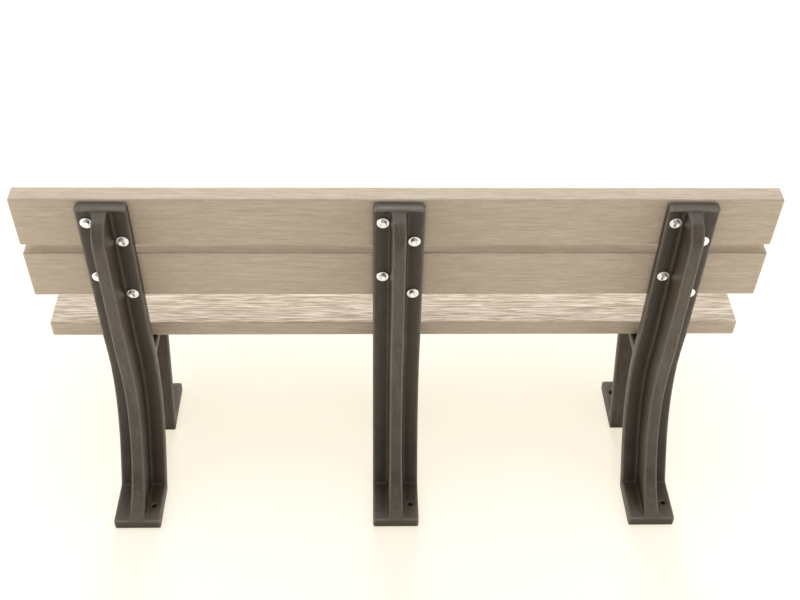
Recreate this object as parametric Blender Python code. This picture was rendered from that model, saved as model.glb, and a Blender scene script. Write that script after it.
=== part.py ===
"""A six foot street bench: two back planks and three seat planks of recycled plastic lumber, screwed to
three moulded T-section supports. Metres, +Z up. The bench faces -Y and its length runs along X; the origin
is on the ground, under the middle of the bench's bounding box.

Each support is drawn in a side plane (y, z) whose y = 0 is near the upper back plank's rear face.
"""

from math import cos, radians, sin, sqrt, tan

import bmesh
import bpy

# Planks
PLANK_LENGTH = 1.829
PLANK_WIDTH = 0.143
PLANK_THICKNESS = 0.048
PLANK_EDGE_RADIUS = 0.003
BACK_GAP = 0.0275
SEAT_GAP = 0.012
BACK_LEAN = 4.0  # degrees from upright
SEAT_RISE = 2.9  # degrees, the seat's front edge being the higher one
SEAT_REAR = (-0.077, 0.417)  # under the seat's rear edge, on the bearer
PLANK_ABOVE_SUPPORT = 0.0065  # the upper plank's top edge over the support's top end

# Supports
SUPPORT_SPACING = 0.697
SUPPORT_WIDTH = 0.124
SUPPORT_TOP = (0.0205, 0.913)  # top end of the flange's rear face
FLANGE_LEAN = 2.5  # degrees, of the flange's rear face behind the planks
FLANGE_TOP_THICKNESS = 0.021
FLANGE_STRAIGHT = 0.400
LIP_DEPTH, LIP_EDGE, LIP_HEIGHT = 0.009, 0.005, 0.013  # a lip behind the top end, bevelled below
LEG_THICKNESS = 0.024
LUMBAR_TURN, LUMBAR_LENGTH = 6.0, 0.070
KNEE_TURN, KNEE_LENGTH = -40.5, 0.353
RIB_DEPTH = 0.076
RIB_TAPER = 0.0035  # how much wider each side of the rib is at the flange
RIB_HALF_AT_CREST = 0.016
RIB_HALF_AT_TOE = 0.0195  # the crest widens over the rear foot
RIB_ROUNDING = 0.066  # height over which the rib's rounded top reaches full depth
RIB_TOP_INSET = 0.002  # from the support's top end down to the rib's
RIB_FLARE_STRAIGHT = 0.055  # how far the flare over the rear foot follows the crest at first
RIB_FLARE_LAST = (0.045, 0.016)  # forward and up from the rib's toe, where the flare levels out
TOP_CORNER_RADIUS = 0.007  # of the support's two top corners, seen from behind
TOP_CORNER_STEPS = 5
EMBED = 0.003  # how far ribs and webs reach into the plates that they join

# Feet and front leg
FOOT_THICKNESS = 0.031
REAR_FOOT_END = 0.242
FRONT_HEEL, FRONT_TOE = -0.115, -0.283
FRONT_LEG_LEAN = 16.2  # degrees, forward going up
FRONT_LEG_THICKNESS = 0.022
FRONT_LEG_WIDTH = 0.111
BEARER_THICKNESS = 0.022
BEARER_FRONT = -0.512
BEARER_START = -0.060  # inside the rear plate
BEARER_HEEL = -0.052  # where the web under the bearer ends, inside the rear plate
WEB_HALF = 0.014
FRONT_RIB_STRAIGHT = (0.130, 0.250)  # heights between which the front leg's rib keeps its depth
FRONT_RIB_CURVES = (0.052, 0.085, 0.325)  # heights that steer its foot flare and its sweep forward
NOSE_INSET, NOSE_DEPTH = 0.006, 0.024  # the rib's front end, behind the bearer's and below it
NOSE_SLOPE = (0.140, 0.028)  # back and down from the nose, where the sweep comes in
ARCH_SPRING, ARCH_HAUNCH, ARCH_DEPTH = 0.290, 0.345, 0.046  # two heights, and the crown under the bearer
ARCH_ROOT = -0.032  # where the arch starts, inside the rear plate
ANCHOR_HOLE_RADIUS = 0.006
ANCHOR_HOLES = ((REAR_FOOT_END - 0.054, -0.039), (FRONT_TOE + 0.051, 0.034))  # (y, from the rib's middle)

# Fasteners
SCREW_OFFSET = 0.038  # from the rib's middle
BACK_SCREWS = ((0.052, 1), (0.109, -1))  # (down from the plank's top edge, side)
SEAT_SCREWS = ((0.050, 1), (0.100, -1))  # (forward of the plank's rear edge, side)
SHANK_RADIUS = 0.004
HOLE_RADIUS = 0.0046
BACK_SHANK = 0.060
SEAT_SHANK = 0.052
HEAD_ACROSS_FLATS = 0.016
HEAD_HEIGHT = 0.0065
WASHER_RADIUS = 0.015
WASHER_THICKNESS = 0.002
SEAT_HEAD_FLANGE_RADIUS = 0.0105
GAP = 0.0003  # between pieces that touch
OVERLAP = 0.0004  # between shapes that are joined

SOLVER = "MANIFOLD"  # the exact solver leaves open edges where the ribs meet the plates

SUPPORTS = {"left": -SUPPORT_SPACING, "middle": 0.0, "right": SUPPORT_SPACING}


def material(name, colour, roughness, metallic=0.0):
    made = bpy.data.materials.new(name)
    made.use_nodes = True
    shader = made.node_tree.nodes["Principled BSDF"]
    shader.inputs["Base Color"].default_value = (*colour, 1.0)
    shader.inputs["Roughness"].default_value = roughness
    shader.inputs["Metallic"].default_value = metallic
    return made


# Side-plane geometry


def ahead(point, lean, distance):
    """The point this far down a line that leans forward by lean degrees as it goes down."""
    angle = radians(lean)
    return (point[0] - distance * sin(angle), point[1] - distance * cos(angle))


def outward(point, lean, distance):
    """The point this far behind such a line."""
    angle = radians(lean)
    return (point[0] + distance * cos(angle), point[1] - distance * sin(angle))


def walk(point, lean, moves):
    """Stations (point, lean, distance walked) along moves of (length, turn in degrees, pieces)."""
    walked = 0.0
    stations = [(point, lean, walked)]
    for length, turn, pieces in moves:
        for _ in range(pieces):
            lean += turn / pieces / 2
            point = ahead(point, lean, length / pieces)
            lean += turn / pieces / 2
            walked += length / pieces
            stations.append((point, lean, walked))
    return stations


def bezier(a, b, c, d, pieces):
    """Points of a cubic curve, both ends included."""
    points = []
    for i in range(pieces + 1):
        t = i / pieces
        weights = ((1 - t) ** 3, 3 * t * (1 - t) ** 2, 3 * t**2 * (1 - t), t**3)
        points.append(tuple(sum(w * p[k] for w, p in zip(weights, (a, b, c, d))) for k in (0, 1)))
    return points


def between(a, b, share):
    return (a[0] + (b[0] - a[0]) * share, a[1] + (b[1] - a[1]) * share)


def flange_front_top():
    return outward(SUPPORT_TOP, FLANGE_LEAN, -FLANGE_TOP_THICKNESS)


def back_point(down, forward):
    """A point of the backrest: down the back from the support's top end, and forward of its front face."""
    return outward(ahead(flange_front_top(), BACK_LEAN, down), BACK_LEAN, -forward)


def seat_point(forward, up):
    """A point of the seat: forward of its rear edge, and up from the bearer's top face."""
    angle = radians(SEAT_RISE)
    return (
        SEAT_REAR[0] - forward * cos(angle) + up * sin(angle),
        SEAT_REAR[1] + forward * sin(angle) + up * cos(angle),
    )


def flange_stations():
    """The rear face of the flange, from its top end to the rear foot's top face."""
    stations = walk(
        SUPPORT_TOP,
        FLANGE_LEAN,
        [
            (RIB_TOP_INSET, 0, 1),
            (RIB_ROUNDING, 0, 6),
            (FLANGE_STRAIGHT - RIB_ROUNDING - RIB_TOP_INSET, 0, 1),
            (LUMBAR_LENGTH, LUMBAR_TURN, 2),
            (KNEE_LENGTH, KNEE_TURN, 10),
        ],
    )
    point, lean, walked = stations[-1]
    left = (point[1] - FOOT_THICKNESS) / cos(radians(lean))
    stations.append((ahead(point, lean, left), lean, walked + left))
    return stations


def flange_thickness(walked):
    """Thickens evenly behind the planks, which lean more than the rear face, then thins to the leg's."""
    end_of_planks = FLANGE_STRAIGHT * 0.85
    thickest = FLANGE_TOP_THICKNESS + end_of_planks * tan(radians(BACK_LEAN - FLANGE_LEAN))
    if walked <= end_of_planks:
        return FLANGE_TOP_THICKNESS + walked * tan(radians(BACK_LEAN - FLANGE_LEAN))
    share = min(1.0, (walked - end_of_planks) / (FLANGE_STRAIGHT + LUMBAR_LENGTH - end_of_planks))
    return thickest + (LEG_THICKNESS - thickest) * share


def rear_plate_outline():
    stations = flange_stations()
    front = [outward(point, lean, -flange_thickness(walked)) for point, lean, walked in stations]
    end, lean = front[-1], stations[-1][1]
    sole = ahead(end, lean, end[1] / cos(radians(lean)))
    lip = [
        outward(SUPPORT_TOP, FLANGE_LEAN, LIP_DEPTH),
        outward(ahead(SUPPORT_TOP, FLANGE_LEAN, LIP_EDGE), FLANGE_LEAN, LIP_DEPTH),
        ahead(SUPPORT_TOP, FLANGE_LEAN, LIP_HEIGHT),
    ]
    below_lip = [point for point, _, walked in stations if walked > LIP_HEIGHT]
    foot = [(REAR_FOOT_END, FOOT_THICKNESS), (REAR_FOOT_END, 0.0), sole]
    return lip + below_lip + foot + front[::-1]


def rear_rib():
    """(roots, crests, the crest's half widths): rounded over at its top, and flared out to the foot's end."""
    stations = flange_stations()[1:]
    roots, crests = [], []
    for point, lean, walked in stations[:-1]:
        missing = max(0.0, 1 - (walked - RIB_TOP_INSET) / RIB_ROUNDING)
        roots.append(outward(point, lean, -EMBED))
        crests.append(outward(point, lean, 0.001 + (RIB_DEPTH - 0.001) * sqrt(1 - missing**2)))
    tip = (REAR_FOOT_END - 0.001, FOOT_THICKNESS + 0.0005)
    start, lean = crests[-1], stations[-2][1]
    last = (tip[0] - RIB_FLARE_LAST[0], tip[1] + RIB_FLARE_LAST[1])
    flare = bezier(start, ahead(start, lean, RIB_FLARE_STRAIGHT), last, tip, 6)[1:]
    corner = (stations[-1][0][0], FOOT_THICKNESS - EMBED)
    toe = (tip[0], FOOT_THICKNESS - EMBED)
    roots += [between(roots[-1], corner, share) for share in (0.5, 1.0)]
    roots += [between(corner, toe, share) for share in (0.25, 0.5, 0.75, 1.0)]
    widening = [(RIB_HALF_AT_TOE - RIB_HALF_AT_CREST) * i / len(flare) for i in range(1, len(flare) + 1)]
    halves = [RIB_HALF_AT_CREST] * len(crests) + [RIB_HALF_AT_CREST + more for more in widening]
    return roots, crests + flare, halves


def bearer_outline():
    reach = SEAT_REAR[0] - BEARER_FRONT
    return [
        seat_point(BEARER_START, 0.0),
        seat_point(reach, 0.0),
        seat_point(reach, -BEARER_THICKNESS),
        seat_point(BEARER_START, -BEARER_THICKNESS),
    ]


def front_leg_point(height, forward):
    """A point of the front leg: at this height on its rear face, moved forward by a level distance."""
    return (FRONT_HEEL - height * tan(radians(FRONT_LEG_LEAN)) - forward, height)


def front_leg_outline():
    level_thickness = FRONT_LEG_THICKNESS / cos(radians(FRONT_LEG_LEAN))
    top = SEAT_REAR[1] - BEARER_THICKNESS / 2
    return [
        front_leg_point(0.0, 0.0),
        front_leg_point(top, 0.0),
        front_leg_point(top, level_thickness),
        front_leg_point(FOOT_THICKNESS, level_thickness),
        (FRONT_TOE, FOOT_THICKNESS),
        (FRONT_TOE, 0.0),
    ]


def front_web_outline():
    """The rib in front of the front leg, which sweeps forward under the bearer."""
    level_depth = (FRONT_LEG_THICKNESS + RIB_DEPTH) / cos(radians(FRONT_LEG_LEAN))
    tip = (FRONT_TOE + 0.002, FOOT_THICKNESS - EMBED)
    flare_height, low_height, sweep_height = FRONT_RIB_CURVES
    low, high = (front_leg_point(height, level_depth) for height in FRONT_RIB_STRAIGHT)
    nose = seat_point(SEAT_REAR[0] - BEARER_FRONT - NOSE_INSET, -BEARER_THICKNESS - NOSE_DEPTH)
    slope = (nose[0] + NOSE_SLOPE[0], nose[1] - NOSE_SLOPE[1])
    flare = bezier(tip, (tip[0] + 0.010, flare_height), front_leg_point(low_height, level_depth), low, 5)
    sweep = bezier(high, front_leg_point(sweep_height, level_depth), slope, nose, 9)
    inside = EMBED - BEARER_THICKNESS
    return flare + sweep + [
        seat_point(SEAT_REAR[0] - BEARER_FRONT - NOSE_INSET, inside),
        seat_point(0.150, inside),
        front_leg_point(0.300, EMBED),
        front_leg_point(FOOT_THICKNESS - EMBED, EMBED),
    ]


def middle_web_outline():
    """The rib under the bearer between the two legs, arched on its lower side."""
    crown = seat_point(0.045, -BEARER_THICKNESS - ARCH_DEPTH)
    rear_foot, rear_haunch = (ARCH_ROOT, ARCH_SPRING), (ARCH_ROOT - 0.004, ARCH_HAUNCH)
    arch = bezier(rear_foot, rear_haunch, (crown[0] + 0.025, crown[1]), crown, 4)
    front_foot = front_leg_point(ARCH_SPRING, EMBED)
    arch += bezier(crown, (crown[0] - 0.030, crown[1]), front_leg_point(ARCH_HAUNCH, 0.0), front_foot, 4)[1:]
    inside = EMBED - BEARER_THICKNESS
    return arch + [seat_point(0.150, inside), seat_point(BEARER_HEEL, inside)]


# Meshes


def mesh_object(name, bm):
    bmesh.ops.recalc_face_normals(bm, faces=bm.faces)
    mesh = bpy.data.meshes.new(name)
    bm.to_mesh(mesh)
    bm.free()
    made = bpy.data.objects.new(name, mesh)
    bpy.context.scene.collection.objects.link(made)
    return made


def prism(name, outline, half_width):
    """A side-plane outline, given its width along X."""
    bm = bmesh.new()
    face = bm.faces.new([bm.verts.new((-half_width, y, z)) for y, z in outline])
    swept = bmesh.ops.extrude_face_region(bm, geom=[face])["geom"]
    moved = [item for item in swept if isinstance(item, bmesh.types.BMVert)]
    bmesh.ops.translate(bm, verts=moved, vec=(2 * half_width, 0, 0))
    return mesh_object(name, bm)


def tapered_web(name, roots, crests, crest_halves, taper):
    """A rib through paired root and crest points, wider by the taper at its root, as a mould needs."""
    bm = bmesh.new()
    rings = [
        [bm.verts.new((x, *point)) for x, point in
         ((-half - taper, root), (half + taper, root), (half, crest), (-half, crest))]
        for root, crest, half in zip(roots, crests, crest_halves)
    ]
    for one, two in zip(rings, rings[1:]):
        for i in range(4):
            bm.faces.new((one[i], one[(i + 1) % 4], two[(i + 1) % 4], two[i]))
    bm.faces.new(rings[0])
    bm.faces.new(rings[-1])
    return mesh_object(name, bm)


def cylinder(name, radius, low, high, sides):
    """A cylinder, or with six sides a hexagon, along Z from low to high."""
    bm = bmesh.new()
    bmesh.ops.create_cone(bm, cap_ends=True, segments=sides, radius1=radius, radius2=radius, depth=high - low)
    bmesh.ops.translate(bm, verts=bm.verts, vec=(0, 0, (low + high) / 2))
    return mesh_object(name, bm)


def combined(target, others, operation):
    """Adds or cuts the others, removes them, and leaves the result as the target's own mesh."""
    for other in others:
        modifier = target.modifiers.new(other.name, "BOOLEAN")
        modifier.object = other
        modifier.operation = operation
        modifier.solver = SOLVER
    bpy.context.view_layer.update()
    graph = bpy.context.evaluated_depsgraph_get()
    result = bpy.data.meshes.new_from_object(target.evaluated_get(graph))
    target.modifiers.clear()
    target.data = result
    for other in others:
        bpy.data.objects.remove(other)
    return target


def finish(target, look):
    """Gives an object its one material and smooth shading across its shallow edges."""
    target.data.materials.clear()
    target.data.materials.append(look)
    target.data.shade_smooth()
    target.data.set_sharp_from_angle(angle=radians(32))
    return target


def placed(target, x, point, turn):
    """Moves an object to a side-plane point at x, turned about X by turn degrees."""
    target.location = (x, *point)
    target.rotation_euler = (radians(turn), 0, 0)
    return target


# Where each screw sits: (plank, side-plane point on the surface under its head, turn, side)


def back_plank_top(index):
    """Distance of a back plank's top edge down the back from the support's top end."""
    return index * (PLANK_WIDTH + BACK_GAP) - PLANK_ABOVE_SUPPORT


def back_screw_places():
    for index, plank in enumerate(("upper", "lower")):
        for down, side in BACK_SCREWS:
            point = ahead(SUPPORT_TOP, FLANGE_LEAN, back_plank_top(index) + down)
            yield plank, point, -(90 + FLANGE_LEAN), side


def seat_screw_places():
    for index, plank in enumerate(("rear", "middle", "front")):
        for forward, side in SEAT_SCREWS:
            reach = index * (PLANK_WIDTH + SEAT_GAP) + forward
            yield plank, seat_point(reach, -BEARER_THICKNESS), 180 - SEAT_RISE, side


def screw_cutter(point, turn, x):
    cutter = cylinder("screw_hole", HOLE_RADIUS, -BACK_SHANK - 0.002, 0.010, 12)
    return placed(cutter, x, point, turn)


# The pieces


def corner_cutter(side):
    """What is cut away to round one of the support's top corners; its outline's first axis becomes X."""
    edge, top, radius = SUPPORT_WIDTH / 2, flange_front_top()[1], TOP_CORNER_RADIUS
    outline = [(edge + radius, top - radius), (edge + radius, top + radius), (edge - radius, top + radius)]
    for i in range(TOP_CORNER_STEPS + 1):
        angle = radians(90 * (1 - i / TOP_CORNER_STEPS))
        outline.append((edge - radius + radius * cos(angle), top - radius + radius * sin(angle)))
    cutter = prism("top_corner", [(x * side, z) for x, z in outline], FLANGE_TOP_THICKNESS * 3)
    cutter.rotation_euler = (0, 0, radians(-90))
    return cutter


def build_supports(shift, look):
    """The three supports share one mesh, moulded in one piece and then drilled."""
    support = prism("support_left", rear_plate_outline(), SUPPORT_WIDTH / 2)
    solids = [
        prism("bearer", bearer_outline(), SUPPORT_WIDTH / 2 - 0.0005),
        prism("front_leg", front_leg_outline(), FRONT_LEG_WIDTH / 2),
        tapered_web("rear_rib", *rear_rib(), RIB_TAPER),
        prism("front_web", front_web_outline(), WEB_HALF),
        prism("middle_web", middle_web_outline(), WEB_HALF - 0.0005),
    ]
    combined(support, solids, "UNION")
    cutters = [corner_cutter(side) for side in (-1, 1)]
    for _, point, turn, side in [*back_screw_places(), *seat_screw_places()]:
        cutters.append(screw_cutter(point, turn, side * SCREW_OFFSET))
    for y, x in ANCHOR_HOLES:
        anchor = cylinder("anchor_hole", ANCHOR_HOLE_RADIUS, -0.01, FOOT_THICKNESS + 0.01, 16)
        cutters.append(placed(anchor, x, (y, 0.0), 0))
    finish(combined(support, cutters, "DIFFERENCE"), look)
    for name, x in SUPPORTS.items():
        if name != "left":
            support = bpy.data.objects.new(f"support_{name}", support.data)
            bpy.context.scene.collection.objects.link(support)
        support.location = (x, shift, 0)


def plank(name, point, turn, shift, holes, look):
    """A plank with eased edges, bored for its screws; its width runs along its own Z."""
    bm = bmesh.new()
    bmesh.ops.create_cube(bm, size=1.0)
    bmesh.ops.scale(bm, verts=bm.verts, vec=(PLANK_LENGTH, PLANK_THICKNESS, PLANK_WIDTH))
    bmesh.ops.bevel(bm, geom=bm.edges[:], offset=PLANK_EDGE_RADIUS, segments=2, profile=0.5, affect="EDGES")
    made = placed(mesh_object(name, bm), 0, point, turn)
    cutters = [
        screw_cutter(at, hole_turn, x + side * SCREW_OFFSET)
        for at, hole_turn, side in holes
        for x in SUPPORTS.values()
    ]
    finish(combined(made, cutters, "DIFFERENCE"), look)
    made.location.y += shift


def build_planks(shift, look):
    for index, name in enumerate(("upper", "lower")):
        holes = [(at, turn, side) for owner, at, turn, side in back_screw_places() if owner == name]
        middle = back_point(back_plank_top(index) + PLANK_WIDTH / 2, GAP + PLANK_THICKNESS / 2)
        plank(f"back_plank_{name}", middle, -BACK_LEAN, shift, holes, look)
    for index, name in enumerate(("rear", "middle", "front")):
        holes = [(at, turn, side) for owner, at, turn, side in seat_screw_places() if owner == name]
        forward = index * (PLANK_WIDTH + SEAT_GAP) + PLANK_WIDTH / 2
        middle = seat_point(forward, GAP + PLANK_THICKNESS / 2)
        plank(f"seat_plank_{name}", middle, -(90 + SEAT_RISE), shift, holes, look)


def screw(name, shank, seat, flange_radius=0.0):
    """A hexagon-headed screw along Z whose head rests at seat; a flange_radius adds a washer face."""
    made = cylinder(name, SHANK_RADIUS, -shank, seat + HEAD_HEIGHT / 2, 10)
    corner_radius = HEAD_ACROSS_FLATS / sqrt(3)
    if not flange_radius:
        head = cylinder("head", corner_radius, seat, seat + HEAD_HEIGHT, 6)
        return combined(made, [head], "UNION")
    base = seat + WASHER_THICKNESS
    head = cylinder("head", corner_radius, base - OVERLAP, base + HEAD_HEIGHT, 6)
    washer_face = cylinder("washer_face", flange_radius, seat, base, 20)
    return combined(made, [head, washer_face], "UNION")


def washer(name):
    disc = cylinder(name, WASHER_RADIUS, GAP, GAP + WASHER_THICKNESS, 24)
    return combined(disc, [cylinder("bore", HOLE_RADIUS, -0.01, 0.01, 12)], "DIFFERENCE")


def build_fasteners(shift, look):
    back_screw = screw("back_screw", BACK_SHANK - 0.004, 2 * GAP + WASHER_THICKNESS)
    seat_screw = screw("seat_screw", SEAT_SHANK, GAP, SEAT_HEAD_FLANGE_RADIUS)
    back_washer = washer("back_washer")
    for pattern in (back_screw, seat_screw, back_washer):
        finish(pattern, look)

    def copy(pattern, support, plank_name, number, point, turn, side):
        name = f"{pattern.name}_{support}_{plank_name}_{number}"
        made = bpy.data.objects.new(name, pattern.data)
        bpy.context.scene.collection.objects.link(made)
        placed(made, SUPPORTS[support] + side * SCREW_OFFSET, point, turn)
        made.location.y += shift

    for support in SUPPORTS:
        for number, (plank_name, *place) in enumerate(back_screw_places()):
            copy(back_screw, support, plank_name, number % 2 + 1, *place)
            copy(back_washer, support, plank_name, number % 2 + 1, *place)
        for number, (plank_name, *place) in enumerate(seat_screw_places()):
            copy(seat_screw, support, plank_name, number % 2 + 1, *place)
    for pattern in (back_screw, seat_screw, back_washer):
        bpy.data.objects.remove(pattern)


def main():
    for item in list(bpy.data.objects):
        bpy.data.objects.remove(item)
    lumber = material("recycled_lumber", (0.44, 0.37, 0.29), 0.7)
    moulded = material("moulded_plastic", (0.065, 0.056, 0.048), 0.5)
    zinc = material("zinc_plate", (0.80, 0.80, 0.78), 0.28, 1.0)
    seat_depth = 3 * PLANK_WIDTH + 2 * SEAT_GAP
    foremost = seat_point(seat_depth, GAP)[0]
    shift = -(REAR_FOOT_END + foremost) / 2
    build_supports(shift, moulded)
    build_planks(shift, lumber)
    build_fasteners(shift, zinc)


main()
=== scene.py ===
"""Looks of the six foot street bench: weathered plastic lumber on three moulded supports, on a pale floor.

Metres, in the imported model's own frame: the bench's length runs along X and its back faces +Y.
"""

from math import cos, pi, radians, sin, tan

import bmesh
import bpy
import numpy as np
from mathutils import Matrix, Vector, noise

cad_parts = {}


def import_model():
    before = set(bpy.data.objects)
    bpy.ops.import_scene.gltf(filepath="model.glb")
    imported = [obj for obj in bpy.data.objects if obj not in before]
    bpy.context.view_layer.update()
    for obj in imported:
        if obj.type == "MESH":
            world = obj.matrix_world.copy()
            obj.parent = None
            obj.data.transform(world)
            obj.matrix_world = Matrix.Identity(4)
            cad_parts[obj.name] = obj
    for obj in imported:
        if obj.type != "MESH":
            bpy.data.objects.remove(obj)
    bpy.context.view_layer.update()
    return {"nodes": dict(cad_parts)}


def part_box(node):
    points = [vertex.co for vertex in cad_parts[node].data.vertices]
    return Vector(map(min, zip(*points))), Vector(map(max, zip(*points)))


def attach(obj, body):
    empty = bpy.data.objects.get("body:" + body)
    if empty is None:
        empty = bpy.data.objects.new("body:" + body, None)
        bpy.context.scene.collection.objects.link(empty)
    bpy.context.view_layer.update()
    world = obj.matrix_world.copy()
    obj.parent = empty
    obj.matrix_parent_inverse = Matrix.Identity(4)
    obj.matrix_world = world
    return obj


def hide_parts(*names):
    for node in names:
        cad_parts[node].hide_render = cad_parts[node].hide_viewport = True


BACK_LEAN = radians(4.0)
SEAT_RISE = radians(2.9)
FLANGE_LEAN = radians(2.5)

PLANK_SIZE = (1.829, 0.143, 0.048)  # length, width, thickness
PLANK_EDGE = 0.0040
LENGTH_STEP = 0.006
WIDTH_STEP = 0.0026
CORNER_STEPS = 4
BACK_RELIEF = 0.00045  # depth of the grain on the face that people lean on
SEAT_RELIEF = 0.00070  # on the face that they sit on
REAR_RELIEF = 0.00020  # on the other face
LEAST_RELIEF = 0.00012  # on the edges
FULL_RELIEF = 0.0006  # depth at which hollows and ridges show all their colour
WAVINESS = 0.0004

SIDES = 48  # of everything round
SHANK_RADIUS = 0.004
BACK_SHANK = 0.0575  # length below the head
SEAT_SHANK = 0.0515
UNTHREADED = 0.38  # share of the shank, under the head
THREAD_PITCH = 0.0028
THREAD_ROOT = SHANK_RADIUS * 0.74
THREAD_START = 0.005  # from the screw's point
NECK_RADIUS = SHANK_RADIUS * 0.92
POINT = 0.0012  # radius of the screw's blunt tip
HEAD_APOTHEM = 0.008
HEAD_HEIGHT = 0.0065
HEAD_CORNER = 1.13  # corner radius over apothem, a little short of a sharp hexagon's
HEAD_TOP = HEAD_APOTHEM * 0.93  # radius of its flat top
HEAD_CHAMFER = radians(32)
DISH_DEPTH = 0.00025  # of the head's top within its rim
BROKEN = 0.0003  # edges broken on a head
SEAT_HEAD_FLANGE = 0.0105
SEAT_HEAD_FLANGE_HEIGHT = 0.0018
WASHER_RADIUS = 0.015
WASHER_BORE = 0.0046
WASHER_THICKNESS = 0.002
WASHER_EDGE = 0.0004

VOXEL = 0.003
SMOOTHINGS = 7
ROOT = "root"

FLOOR_REACH = 80.0
CAMERA_PLACE = (0.0665, 2.2946, 2.4883)
CAMERA_HEADING = radians(178.05)
CAMERA_TILT = radians(48.87)
CAMERA_ROLL = radians(1.2)
CAMERA_LENS = 50.86  # millimetres, on a sensor 36 wide


# Node materials


class Shader:
    """A material under construction, with short calls for the nodes that it is made of."""

    def __init__(self, name):
        self.material = bpy.data.materials.new(name)
        self.material.use_nodes = True
        self.tree = self.material.node_tree
        self.surface = self.tree.nodes["Principled BSDF"]
        self.place = self.node("ShaderNodeTexCoord").outputs["Object"]

    def node(self, kind, **settings):
        made = self.tree.nodes.new(kind)
        for key, value in settings.items():
            setattr(made, key, value)
        return made

    def feed(self, socket, value):
        if isinstance(value, bpy.types.NodeSocket):
            self.tree.links.new(value, socket)
        else:
            socket.default_value = value

    def noise(self, stretch, detail=3.0, roughness=0.55, warp=0.0):
        """Noise of about one cycle for each 1/stretch metres along X, Y and Z."""
        mapping = self.node("ShaderNodeMapping")
        self.feed(mapping.inputs["Vector"], self.place)
        self.feed(mapping.inputs["Scale"], stretch)
        texture = self.node("ShaderNodeTexNoise")
        self.feed(texture.inputs["Vector"], mapping.outputs["Vector"])
        self.feed(texture.inputs["Scale"], 1.0)
        self.feed(texture.inputs["Detail"], detail)
        self.feed(texture.inputs["Roughness"], roughness)
        self.feed(texture.inputs["Distortion"], warp)
        return texture.outputs["Fac"]

    def ranged(self, value, low, high, to_low=0.0, to_high=1.0):
        made = self.node("ShaderNodeMapRange", clamp=True)
        for key, item in (("Value", value), ("From Min", low), ("From Max", high),
                          ("To Min", to_low), ("To Max", to_high)):
            self.feed(made.inputs[key], item)
        return made.outputs["Result"]

    def attribute(self, name):
        return self.node("ShaderNodeAttribute", attribute_name=name).outputs["Fac"]

    def maths(self, operation, a, b):
        made = self.node("ShaderNodeMath", operation=operation)
        self.feed(made.inputs[0], a)
        self.feed(made.inputs[1], b)
        return made.outputs["Value"]

    def mixed(self, share, a, b, blend="MIX"):
        made = self.node("ShaderNodeMix", data_type="RGBA", blend_type=blend)
        self.feed(made.inputs["Factor"], share)
        for socket, value in ((made.inputs[6], a), (made.inputs[7], b)):
            self.feed(socket, value if isinstance(value, bpy.types.NodeSocket) else (*value, 1.0))
        return made.outputs[2]

    def bumps(self, *layers):
        """Layers of (height, depth in metres), each on top of the one before."""
        normal = None
        for height, depth in layers:
            bump = self.node("ShaderNodeBump")
            self.feed(bump.inputs["Strength"], 1.0)
            self.feed(bump.inputs["Distance"], depth)
            self.feed(bump.inputs["Height"], height)
            if normal is not None:
                self.feed(bump.inputs["Normal"], normal)
            normal = bump.outputs["Normal"]
        self.feed(self.surface.inputs["Normal"], normal)

    def finish(self, colour, roughness, metallic=0.0, specular=0.5):
        self.feed(self.surface.inputs["Base Color"], colour)
        self.feed(self.surface.inputs["Roughness"], roughness)
        self.feed(self.surface.inputs["Metallic"], metallic)
        self.feed(self.surface.inputs["Specular IOR Level"], specular)
        return self.material


def lumber_material():
    """Weathered plastic lumber: bleached ridges over browner hollows, mostly on the faces people touch."""
    shader = Shader("weathered_lumber")
    streaks = shader.noise((9.0, 150.0, 150.0), detail=4.0, warp=0.9)
    lines = shader.noise((11.0, 205.0, 205.0), detail=2.0, roughness=0.5, warp=1.1)
    checks = shader.noise((22.0, 260.0, 260.0), detail=3.0, roughness=0.6, warp=0.8)
    fibres = shader.noise((34.0, 520.0, 520.0), detail=3.0)
    mottle = shader.noise((26.0, 60.0, 60.0), detail=4.0, roughness=0.65)
    blotches = shader.noise((4.0, 10.0, 10.0), detail=3.0)
    relief = shader.attribute("relief")
    worn = shader.attribute("worn")
    body = shader.mixed(shader.ranged(streaks, 0.36, 0.64), (0.490, 0.402, 0.300), (0.605, 0.514, 0.402))
    body = shader.mixed(shader.ranged(blotches, 0.35, 0.70, 0.0, 0.40), body, (0.585, 0.478, 0.366))
    body = shader.mixed(shader.ranged(mottle, 0.40, 0.68, 0.0, 0.55), body, (0.480, 0.390, 0.290))
    body = shader.mixed(shader.ranged(relief, 0.45, 0.05, 0.0, 0.45), body, (0.360, 0.290, 0.215))
    body = shader.mixed(shader.ranged(relief, 0.55, 0.95, 0.0, 0.35), body, (0.700, 0.622, 0.522))
    body = shader.mixed(shader.ranged(checks, 0.44, 0.30, 0.0, 0.55), body, (0.380, 0.300, 0.216))
    body = shader.mixed(shader.ranged(checks, 0.56, 0.72, 0.0, 0.40), body, (0.700, 0.600, 0.485))
    hollows = shader.maths("MULTIPLY", shader.ranged(lines, 0.49, 0.37, 0.0, 0.62), worn)
    body = shader.mixed(hollows, body, (0.300, 0.236, 0.168))
    bleached = shader.maths("MULTIPLY", shader.ranged(lines, 0.48, 0.62, 0.0, 0.70), worn)
    body = shader.mixed(bleached, body, (0.830, 0.745, 0.635))
    body = shader.mixed(shader.ranged(fibres, 0.30, 0.72, 0.0, 0.24), body, (0.400, 0.322, 0.238))
    shader.bumps((streaks, 0.0006), (fibres, 0.00025))
    return shader.finish(body, shader.ranged(blotches, 0.3, 0.7, 0.66, 0.82), specular=0.3)


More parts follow.
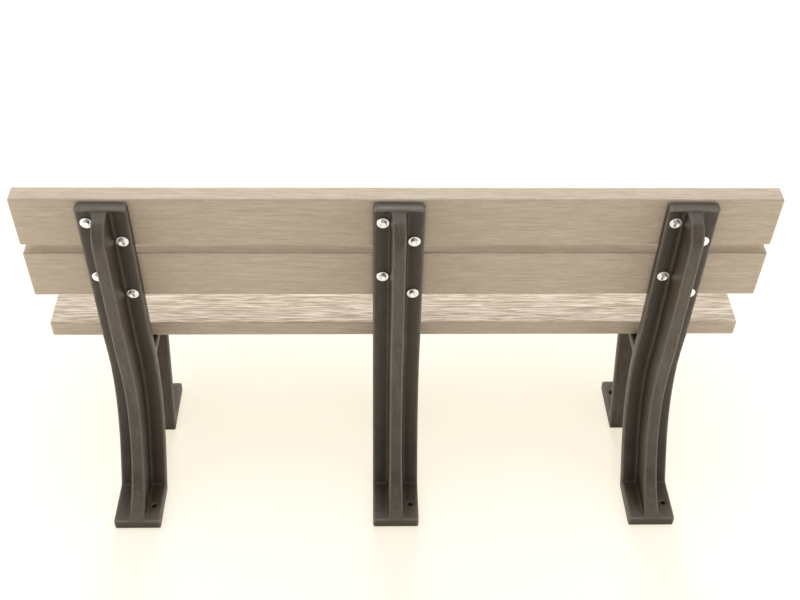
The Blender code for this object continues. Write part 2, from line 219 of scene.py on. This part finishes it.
def moulded_material():
    """Dark brown moulded plastic: streaky with flow marks, painted shade in its corners, edges lighter by
    scuffs and a painted highlight.
    """
    shader = Shader("moulded_plastic")
    clouds = shader.noise((14.0, 14.0, 9.0), detail=4.0, roughness=0.6)
    flow = shader.noise((95.0, 60.0, 16.0), detail=4.0, warp=1.2)
    specks = shader.noise((330.0, 330.0, 200.0), detail=3.0)
    grain = shader.noise((700.0, 700.0, 700.0), detail=2.0)
    edges = shader.node("ShaderNodeNewGeometry").outputs["Pointiness"]
    # Painted shade: the colour darkens where the ambient occlusion node finds the surface sheltered, in
    # channels and corners.
    shelter = shader.node("ShaderNodeAmbientOcclusion", samples=12)
    shader.feed(shelter.inputs["Distance"], 0.06)
    body = shader.mixed(shader.ranged(clouds, 0.36, 0.64), (0.068, 0.052, 0.038), (0.094, 0.075, 0.056))
    body = shader.mixed(shader.ranged(flow, 0.46, 0.70, 0.0, 0.62), body, (0.125, 0.102, 0.078))
    body = shader.mixed(shader.ranged(specks, 0.56, 0.72, 0.0, 0.35), body, (0.150, 0.126, 0.098))
    painted_corner_shade = shader.ranged(shelter.outputs["AO"], 0.96, 0.62, 0.0, 0.92)
    body = shader.mixed(painted_corner_shade, body, (0.024, 0.014, 0.005))
    # Edges lighter where pointiness is high, in patches: partly scuffs, partly a painted highlight along the
    # arrises.
    patchy = shader.ranged(specks, 0.30, 0.55, 0.26, 0.65)
    scuffs_and_painted_highlight = shader.maths("MULTIPLY", shader.ranged(edges, 0.510, 0.560), patchy)
    body = shader.mixed(scuffs_and_painted_highlight, body, (0.300, 0.265, 0.222))
    shader.bumps((flow, 0.0006), (specks, 0.0002), (grain, 0.0001))
    return shader.finish(body, shader.ranged(clouds, 0.3, 0.7, 0.36, 0.50), specular=0.38)


def zinc_material():
    """Bright zinc plate with faint clouding."""
    shader = Shader("zinc_plate")
    clouds = shader.noise((190.0, 190.0, 190.0), detail=3.0)
    brushed = shader.noise((900.0, 900.0, 900.0), detail=2.0)
    body = shader.mixed(shader.ranged(clouds, 0.35, 0.65), (0.86, 0.87, 0.86), (0.97, 0.97, 0.96))
    shader.bumps((brushed, 0.00006))
    return shader.finish(body, shader.ranged(clouds, 0.3, 0.7, 0.24, 0.36), metallic=1.0)


def floor_material():
    """A white floor, faintly lit from below as on a light table, which keeps its shadows soft."""
    shader = Shader("pale_floor")
    clouds = shader.noise((0.8, 0.8, 0.8), detail=2.0)
    body = shader.mixed(clouds, (0.395, 0.395, 0.415), (0.405, 0.405, 0.425))
    shader.feed(shader.surface.inputs["Emission Color"], (1.0, 0.905, 0.70, 1.0))
    shader.feed(shader.surface.inputs["Emission Strength"], 0.70)
    return shader.finish(body, 0.9, specular=0.0)


# Mesh pieces


def add_piece(name, mesh, look):
    mesh.materials.clear()
    mesh.materials.append(look)
    piece = bpy.data.objects.new(name, mesh)
    bpy.context.scene.collection.objects.link(piece)
    return piece


def declare(piece, node):
    """The piece, now in its place, rides on the bench and stands for a CAD node."""
    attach(piece, ROOT)
    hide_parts(node)


def middle_of(node):
    low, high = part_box(node)
    return (low + high) / 2


def closed_mesh(name, bm, sharp):
    """The finished mesh, smooth except where its faces meet at more than sharp degrees."""
    bmesh.ops.recalc_face_normals(bm, faces=bm.faces)
    mesh = bpy.data.meshes.new(name)
    bm.to_mesh(mesh)
    bm.free()
    mesh.shade_smooth()
    mesh.set_sharp_from_angle(angle=radians(sharp))
    return mesh


def span(length, step):
    """Even positions from one end of a centred length to the other, about a step apart."""
    count = max(1, round(length / step))
    return [length * (i / count - 0.5) for i in range(count + 1)]


def section_ring():
    """The plank's rounded section: (across, through, outward across, outward through) for each point."""
    _, width, thickness = PLANK_SIZE
    flat_width, flat_thickness = width - 2 * PLANK_EDGE, thickness - 2 * PLANK_EDGE
    ring = []
    for turn in range(4):
        length, other = (flat_width, thickness) if turn % 2 == 0 else (flat_thickness, width)
        angle = pi / 2 * turn
        for along in span(length, WIDTH_STEP)[:-1]:
            ring.append((-along, other / 2, 0.0, 1.0, angle))
        for i in range(CORNER_STEPS):
            bend = pi / 2 * i / CORNER_STEPS
            ring.append((
                -length / 2 - PLANK_EDGE * sin(bend),
                other / 2 - PLANK_EDGE * (1 - cos(bend)),
                -sin(bend),
                cos(bend),
                angle,
            ))
    points = []
    for a, t, na, nt, angle in ring:
        c, s = cos(angle), sin(angle)
        points.append((a * c - t * s, a * s + t * c, na * c - nt * s, na * s + nt * c))
    return points


def grain(x, across, through, seed):
    """Embossed grain, from 0 in its hollows to 1 on its ridges: long wandering lines along X."""
    wander = noise.noise(Vector((x * 3.1, across * 16, through * 16 + seed)))
    drift = noise.noise(Vector((x * 13.0 + 7.7, across * 45, seed)))
    wandering = across * 125 + wander * 2.6 + drift * 1.2
    lines = noise.noise(Vector((x * 12.0, wandering, through * 60 + seed * 1.7)))
    fine = noise.noise(Vector((x * 26.0, across * 250 + drift * 2.0, through * 150 - seed)))
    return min(1.0, max(0.0, 0.5 + 0.80 * lines + 0.40 * fine))


def plank_mesh(name, seed, front_depth):
    """A plank of plastic lumber: eased edges, a slight waviness, and grain embossed in its two faces.

    Its length is its X, its width its Y, and its +Z face takes front_depth of relief, in metres.
    """
    length = PLANK_SIZE[0]
    ring = section_ring()
    rows = [(x, 0.0) for x in span(length - 2 * PLANK_EDGE, LENGTH_STEP)]
    for i in range(1, CORNER_STEPS + 1):
        bend = pi / 2 * i / CORNER_STEPS
        row = (length / 2 - PLANK_EDGE * (1 - sin(bend)), PLANK_EDGE * (1 - cos(bend)))
        rows.append(row)
        rows.insert(0, (-row[0], row[1]))
    bm = bmesh.new()
    relief = bm.verts.layers.float.new("relief")
    worn = bm.verts.layers.float.new("worn")
    made = []
    for x, inset in rows:
        bow = WAVINESS * noise.noise(Vector((x * 2.3, seed, 0.0)))
        swell = WAVINESS * noise.noise(Vector((x * 7.0, seed + 5.0, 0.0)))
        row = []
        for across, through, out_across, out_through in ring:
            height = grain(x, across, through, seed)
            on_faces = max(0.0, out_through) * front_depth + max(0.0, -out_through) * REAR_RELIEF
            depth = max(on_faces, LEAST_RELIEF + 0.5 * REAR_RELIEF * abs(out_across))
            push = swell * abs(out_through) + (height - 0.6) * depth - inset
            vert = bm.verts.new((x, across + out_across * push + bow, through + out_through * push))
            vert[relief] = 0.5 + (height - 0.5) * min(1.0, depth / FULL_RELIEF)
            vert[worn] = max(0.0, out_through)
            row.append(vert)
        made.append(row)
    for one, two in zip(made, made[1:]):
        for i in range(len(ring)):
            k = (i + 1) % len(ring)
            bm.faces.new((one[i], one[k], two[k], two[i]))
    bm.faces.new(made[0][::-1])
    bm.faces.new(made[-1])
    return closed_mesh(name, bm, 50)


def build_planks(look):
    """Each plank's +Z is the face that people lean or sit on."""
    back = Matrix.Rotation(pi / 2 - BACK_LEAN, 4, "X")
    seat = Matrix.Rotation(-SEAT_RISE, 4, "X")
    planks = (
        ("back_plank_upper", back, BACK_RELIEF),
        ("back_plank_lower", back, BACK_RELIEF),
        ("seat_plank_rear", seat, SEAT_RELIEF),
        ("seat_plank_middle", seat, SEAT_RELIEF),
        ("seat_plank_front", seat, SEAT_RELIEF),
    )
    for number, (node, turn, front_depth) in enumerate(planks):
        mesh = plank_mesh(f"lumber_{node}", 13.0 * number + 3.0, front_depth)
        piece = add_piece(f"lumber_{node}", mesh, look)
        piece.matrix_world = Matrix.Translation(middle_of(node)) @ turn
        declare(piece, node)


def evaluated_mesh(piece, name):
    """The piece's mesh with its modifiers applied."""
    bpy.context.view_layer.update()
    graph = bpy.context.evaluated_depsgraph_get()
    mesh = bpy.data.meshes.new_from_object(piece.evaluated_get(graph))
    mesh.name = name
    return mesh


def build_supports(nodes, look):
    """The mouldings: the CAD solid with rounded edges and filleted inner corners, as a mould leaves them."""
    rough = bpy.data.objects.new("support_rough", nodes["support_middle"].data.copy())
    bpy.context.scene.collection.objects.link(rough)
    remesh = rough.modifiers.new("remesh", "REMESH")
    remesh.mode = "VOXEL"
    remesh.voxel_size = VOXEL
    soften = rough.modifiers.new("soften", "SMOOTH")
    soften.factor = 0.5
    soften.iterations = SMOOTHINGS
    mesh = evaluated_mesh(rough, "moulded_support")
    bpy.data.objects.remove(rough)
    mesh.shade_smooth()
    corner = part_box("support_middle")[0]
    for side in ("left", "middle", "right"):
        node = f"support_{side}"
        piece = add_piece(f"moulded_{node}", mesh, look)
        piece.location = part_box(node)[0] - corner
        declare(piece, node)


def turned(bm, profile):
    """A ring round Z for each (radius, height) of the profile, or one point where it meets the axis."""
    rings = []
    for radius, height in profile:
        count = SIDES if radius else 1
        angles = [2 * pi * i / count for i in range(count)]
        rings.append([bm.verts.new((radius * cos(angle), radius * sin(angle), height)) for angle in angles])
    return rings


def skin(bm, rings):
    """Faces between each ring and the next; a ring of one point closes an end."""
    for one, two in zip(rings, rings[1:]):
        count = max(len(one), len(two))
        for i in range(count):
            corners = []
            for vert in (one[i % len(one)], one[(i + 1) % len(one)],
                         two[(i + 1) % len(two)], two[i % len(two)]):
                if vert not in corners:
                    corners.append(vert)
            if len(corners) > 2:
                bm.faces.new(corners)


def hexagon_ring(bm, height_at, shrink=0.0):
    """A ring round the screw's hexagon, its corners slightly rounded and each height set by the radius."""
    ring = []
    for i in range(SIDES):
        angle = 2 * pi * i / SIDES
        within = (angle + pi / 6) % (pi / 3) - pi / 6
        radius = min(HEAD_APOTHEM / cos(within), HEAD_APOTHEM * HEAD_CORNER) - shrink
        ring.append(bm.verts.new((radius * cos(angle), radius * sin(angle), height_at(radius))))
    return ring


def screw_mesh(name, shank, flange):
    """A hexagon screw along Z whose head's underside is at 0, with rolled thread and a pointed end."""
    profile = [(0.0, -shank), (POINT, -shank + 0.0010)]
    z = -shank + THREAD_START
    while z < -shank * UNTHREADED:
        crest = z + THREAD_PITCH * 0.42
        profile += [(THREAD_ROOT, z), (SHANK_RADIUS, crest), (SHANK_RADIUS, z + THREAD_PITCH * 0.5)]
        z += THREAD_PITCH
    profile += [(NECK_RADIUS, z + 0.001), (NECK_RADIUS, -0.0002)]
    base = 0.0
    if flange:
        base = SEAT_HEAD_FLANGE_HEIGHT
        profile += [(flange - BROKEN, 0.0), (flange, BROKEN), (flange, 0.0010), (flange - 0.0010, base)]
    bm = bmesh.new()
    rings = turned(bm, profile)
    if not flange:
        rings.append(hexagon_ring(bm, lambda radius: 0.0, BROKEN))
    rings.append(hexagon_ring(bm, lambda radius: base + BROKEN))
    top = base + HEAD_HEIGHT
    slope = tan(HEAD_CHAMFER)
    rings.append(hexagon_ring(bm, lambda radius: top - max(0.0, radius - HEAD_TOP) * slope - 0.0002))
    dish = top - DISH_DEPTH
    rings += turned(bm, [(HEAD_TOP, top), (HEAD_TOP - 0.0006, top), (HEAD_TOP - 0.0011, dish), (0.0, dish)])
    skin(bm, rings)
    return closed_mesh(name, bm, 40)


def washer_mesh(name):
    """A flat washer along Z from 0 up, with its edges broken."""
    edge = WASHER_EDGE
    profile = [
        (WASHER_BORE, edge), (WASHER_BORE + edge, 0.0),
        (WASHER_RADIUS - edge, 0.0), (WASHER_RADIUS, edge),
        (WASHER_RADIUS, WASHER_THICKNESS - edge), (WASHER_RADIUS - edge, WASHER_THICKNESS),
        (WASHER_BORE + edge, WASHER_THICKNESS), (WASHER_BORE, WASHER_THICKNESS - edge),
    ]
    bm = bmesh.new()
    rings = turned(bm, profile)
    skin(bm, rings + rings[:1])
    return closed_mesh(name, bm, 30)


def facing(direction, spin=0.0):
    """The rotation that turns +Z to a direction in the YZ plane, after a spin round it."""
    return Vector(direction).to_track_quat("Z", "X").to_matrix().to_4x4() @ Matrix.Rotation(spin, 4, "Z")


def build_fasteners(nodes, look):
    """Washers and screws behind the back planks, and flanged screws under the seat planks."""
    rearward = Vector((0.0, cos(FLANGE_LEAN), -sin(FLANGE_LEAN)))
    downward = Vector((0.0, -sin(SEAT_RISE), -cos(SEAT_RISE)))
    washer = washer_mesh("zinc_washer")
    long_screw = screw_mesh("zinc_screw", BACK_SHANK, 0.0)
    short_screw = screw_mesh("zinc_flange_screw", SEAT_SHANK, SEAT_HEAD_FLANGE)
    for number, node in enumerate(sorted(nodes)):
        spin = radians(37 * number % 60)
        if node.startswith("back_washer"):
            piece = add_piece(f"zinc_{node}", washer, look)
            start = middle_of(node) - rearward * WASHER_THICKNESS / 2
            piece.matrix_world = Matrix.Translation(start) @ facing(rearward)
        elif node.startswith("back_screw"):
            piece = add_piece(f"zinc_{node}", long_screw, look)
            above_washer = rearward * (WASHER_THICKNESS / 2 + 0.0001)
            under_head = middle_of(node.replace("screw", "washer")) + above_washer
            piece.matrix_world = Matrix.Translation(under_head) @ facing(rearward, spin)
        elif node.startswith("seat_screw"):
            piece = add_piece(f"zinc_{node}", short_screw, look)
            under_head = head_seat(nodes[node], downward)
            piece.matrix_world = Matrix.Translation(under_head) @ facing(downward, spin)
        else:
            continue
        declare(piece, node)


def head_seat(node, outward):
    """Under the head of a CAD screw: its axis, at the height where it widens."""
    points = np.array([vert.co for vert in node.data.vertices])
    axis = np.array(outward)
    middle = (points.min(axis=0) + points.max(axis=0)) / 2
    heights = (points - middle) @ axis
    from_axis = np.linalg.norm(points - middle - np.outer(heights, axis), axis=1)
    seat = heights[from_axis > SHANK_RADIUS * 1.5].min()
    return Vector(middle + axis * seat)


# Stage


def add_light(name, size, power, place, target):
    light = bpy.data.lights.new(name, "AREA")
    light.shape = "RECTANGLE"
    light.size, light.size_y = size
    light.energy = power
    holder = bpy.data.objects.new(name, light)
    holder.location = place
    holder.rotation_euler = (Vector(target) - Vector(place)).to_track_quat("-Z", "Y").to_euler()
    bpy.context.scene.collection.objects.link(holder)


def add_sun(name, strength, softness, towards):
    """A distant light as wide as softness, in degrees, in that direction from the bench."""
    light = bpy.data.lights.new(name, "SUN")
    light.energy = strength
    light.angle = radians(softness)
    holder = bpy.data.objects.new(name, light)
    holder.rotation_euler = Vector(towards).to_track_quat("Z", "Y").to_euler()
    bpy.context.scene.collection.objects.link(holder)


def build_stage():
    """The floor, a plain white world, a wide light above, a low one in front and one at each side."""
    mesh = bpy.data.meshes.new("floor")
    corners = [(x * FLOOR_REACH, y * FLOOR_REACH, 0) for x, y in ((-1, -1), (1, -1), (1, 1), (-1, 1))]
    mesh.from_pydata(corners, [], [(0, 1, 2, 3)])
    mesh.materials.append(floor_material())
    floor = bpy.data.objects.new("floor", mesh)
    bpy.context.scene.collection.objects.link(floor)
    world = bpy.data.worlds.new("studio")
    world.use_nodes = True
    background = world.node_tree.nodes["Background"]
    background.inputs["Color"].default_value = (1.0, 1.0, 1.0, 1.0)
    background.inputs["Strength"].default_value = 0.40
    bpy.context.scene.world = world
    add_sun("key", 1.9, 75.0, (0.05, -0.28, 1.0))
    add_sun("front", 2.8, 18.0, (0.0, -1.0, 0.30))
    for side in (-1, 1):
        add_light("side", (0.9, 0.9), 5.0, (side * 1.9, 1.0, 0.55), (side * 0.7, 0.1, 0.45))
    bpy.context.scene.view_settings.view_transform = "Standard"


def build_camera():
    camera = bpy.data.cameras.new("camera")
    camera.sensor_width = 36.0
    camera.lens = CAMERA_LENS
    holder = bpy.data.objects.new("camera", camera)
    heading = Matrix.Rotation(CAMERA_HEADING, 4, "Z")
    tilt = Matrix.Rotation(CAMERA_TILT, 4, "X")
    roll = Matrix.Rotation(CAMERA_ROLL, 4, "Z")
    holder.matrix_world = Matrix.Translation(CAMERA_PLACE) @ heading @ tilt @ roll
    bpy.context.scene.collection.objects.link(holder)
    bpy.context.scene.camera = holder


def main():
    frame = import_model()
    nodes = frame["nodes"]
    build_camera()
    build_stage()
    build_planks(lumber_material())
    build_supports(nodes, moulded_material())
    build_fasteners(nodes, zinc_material())


main()
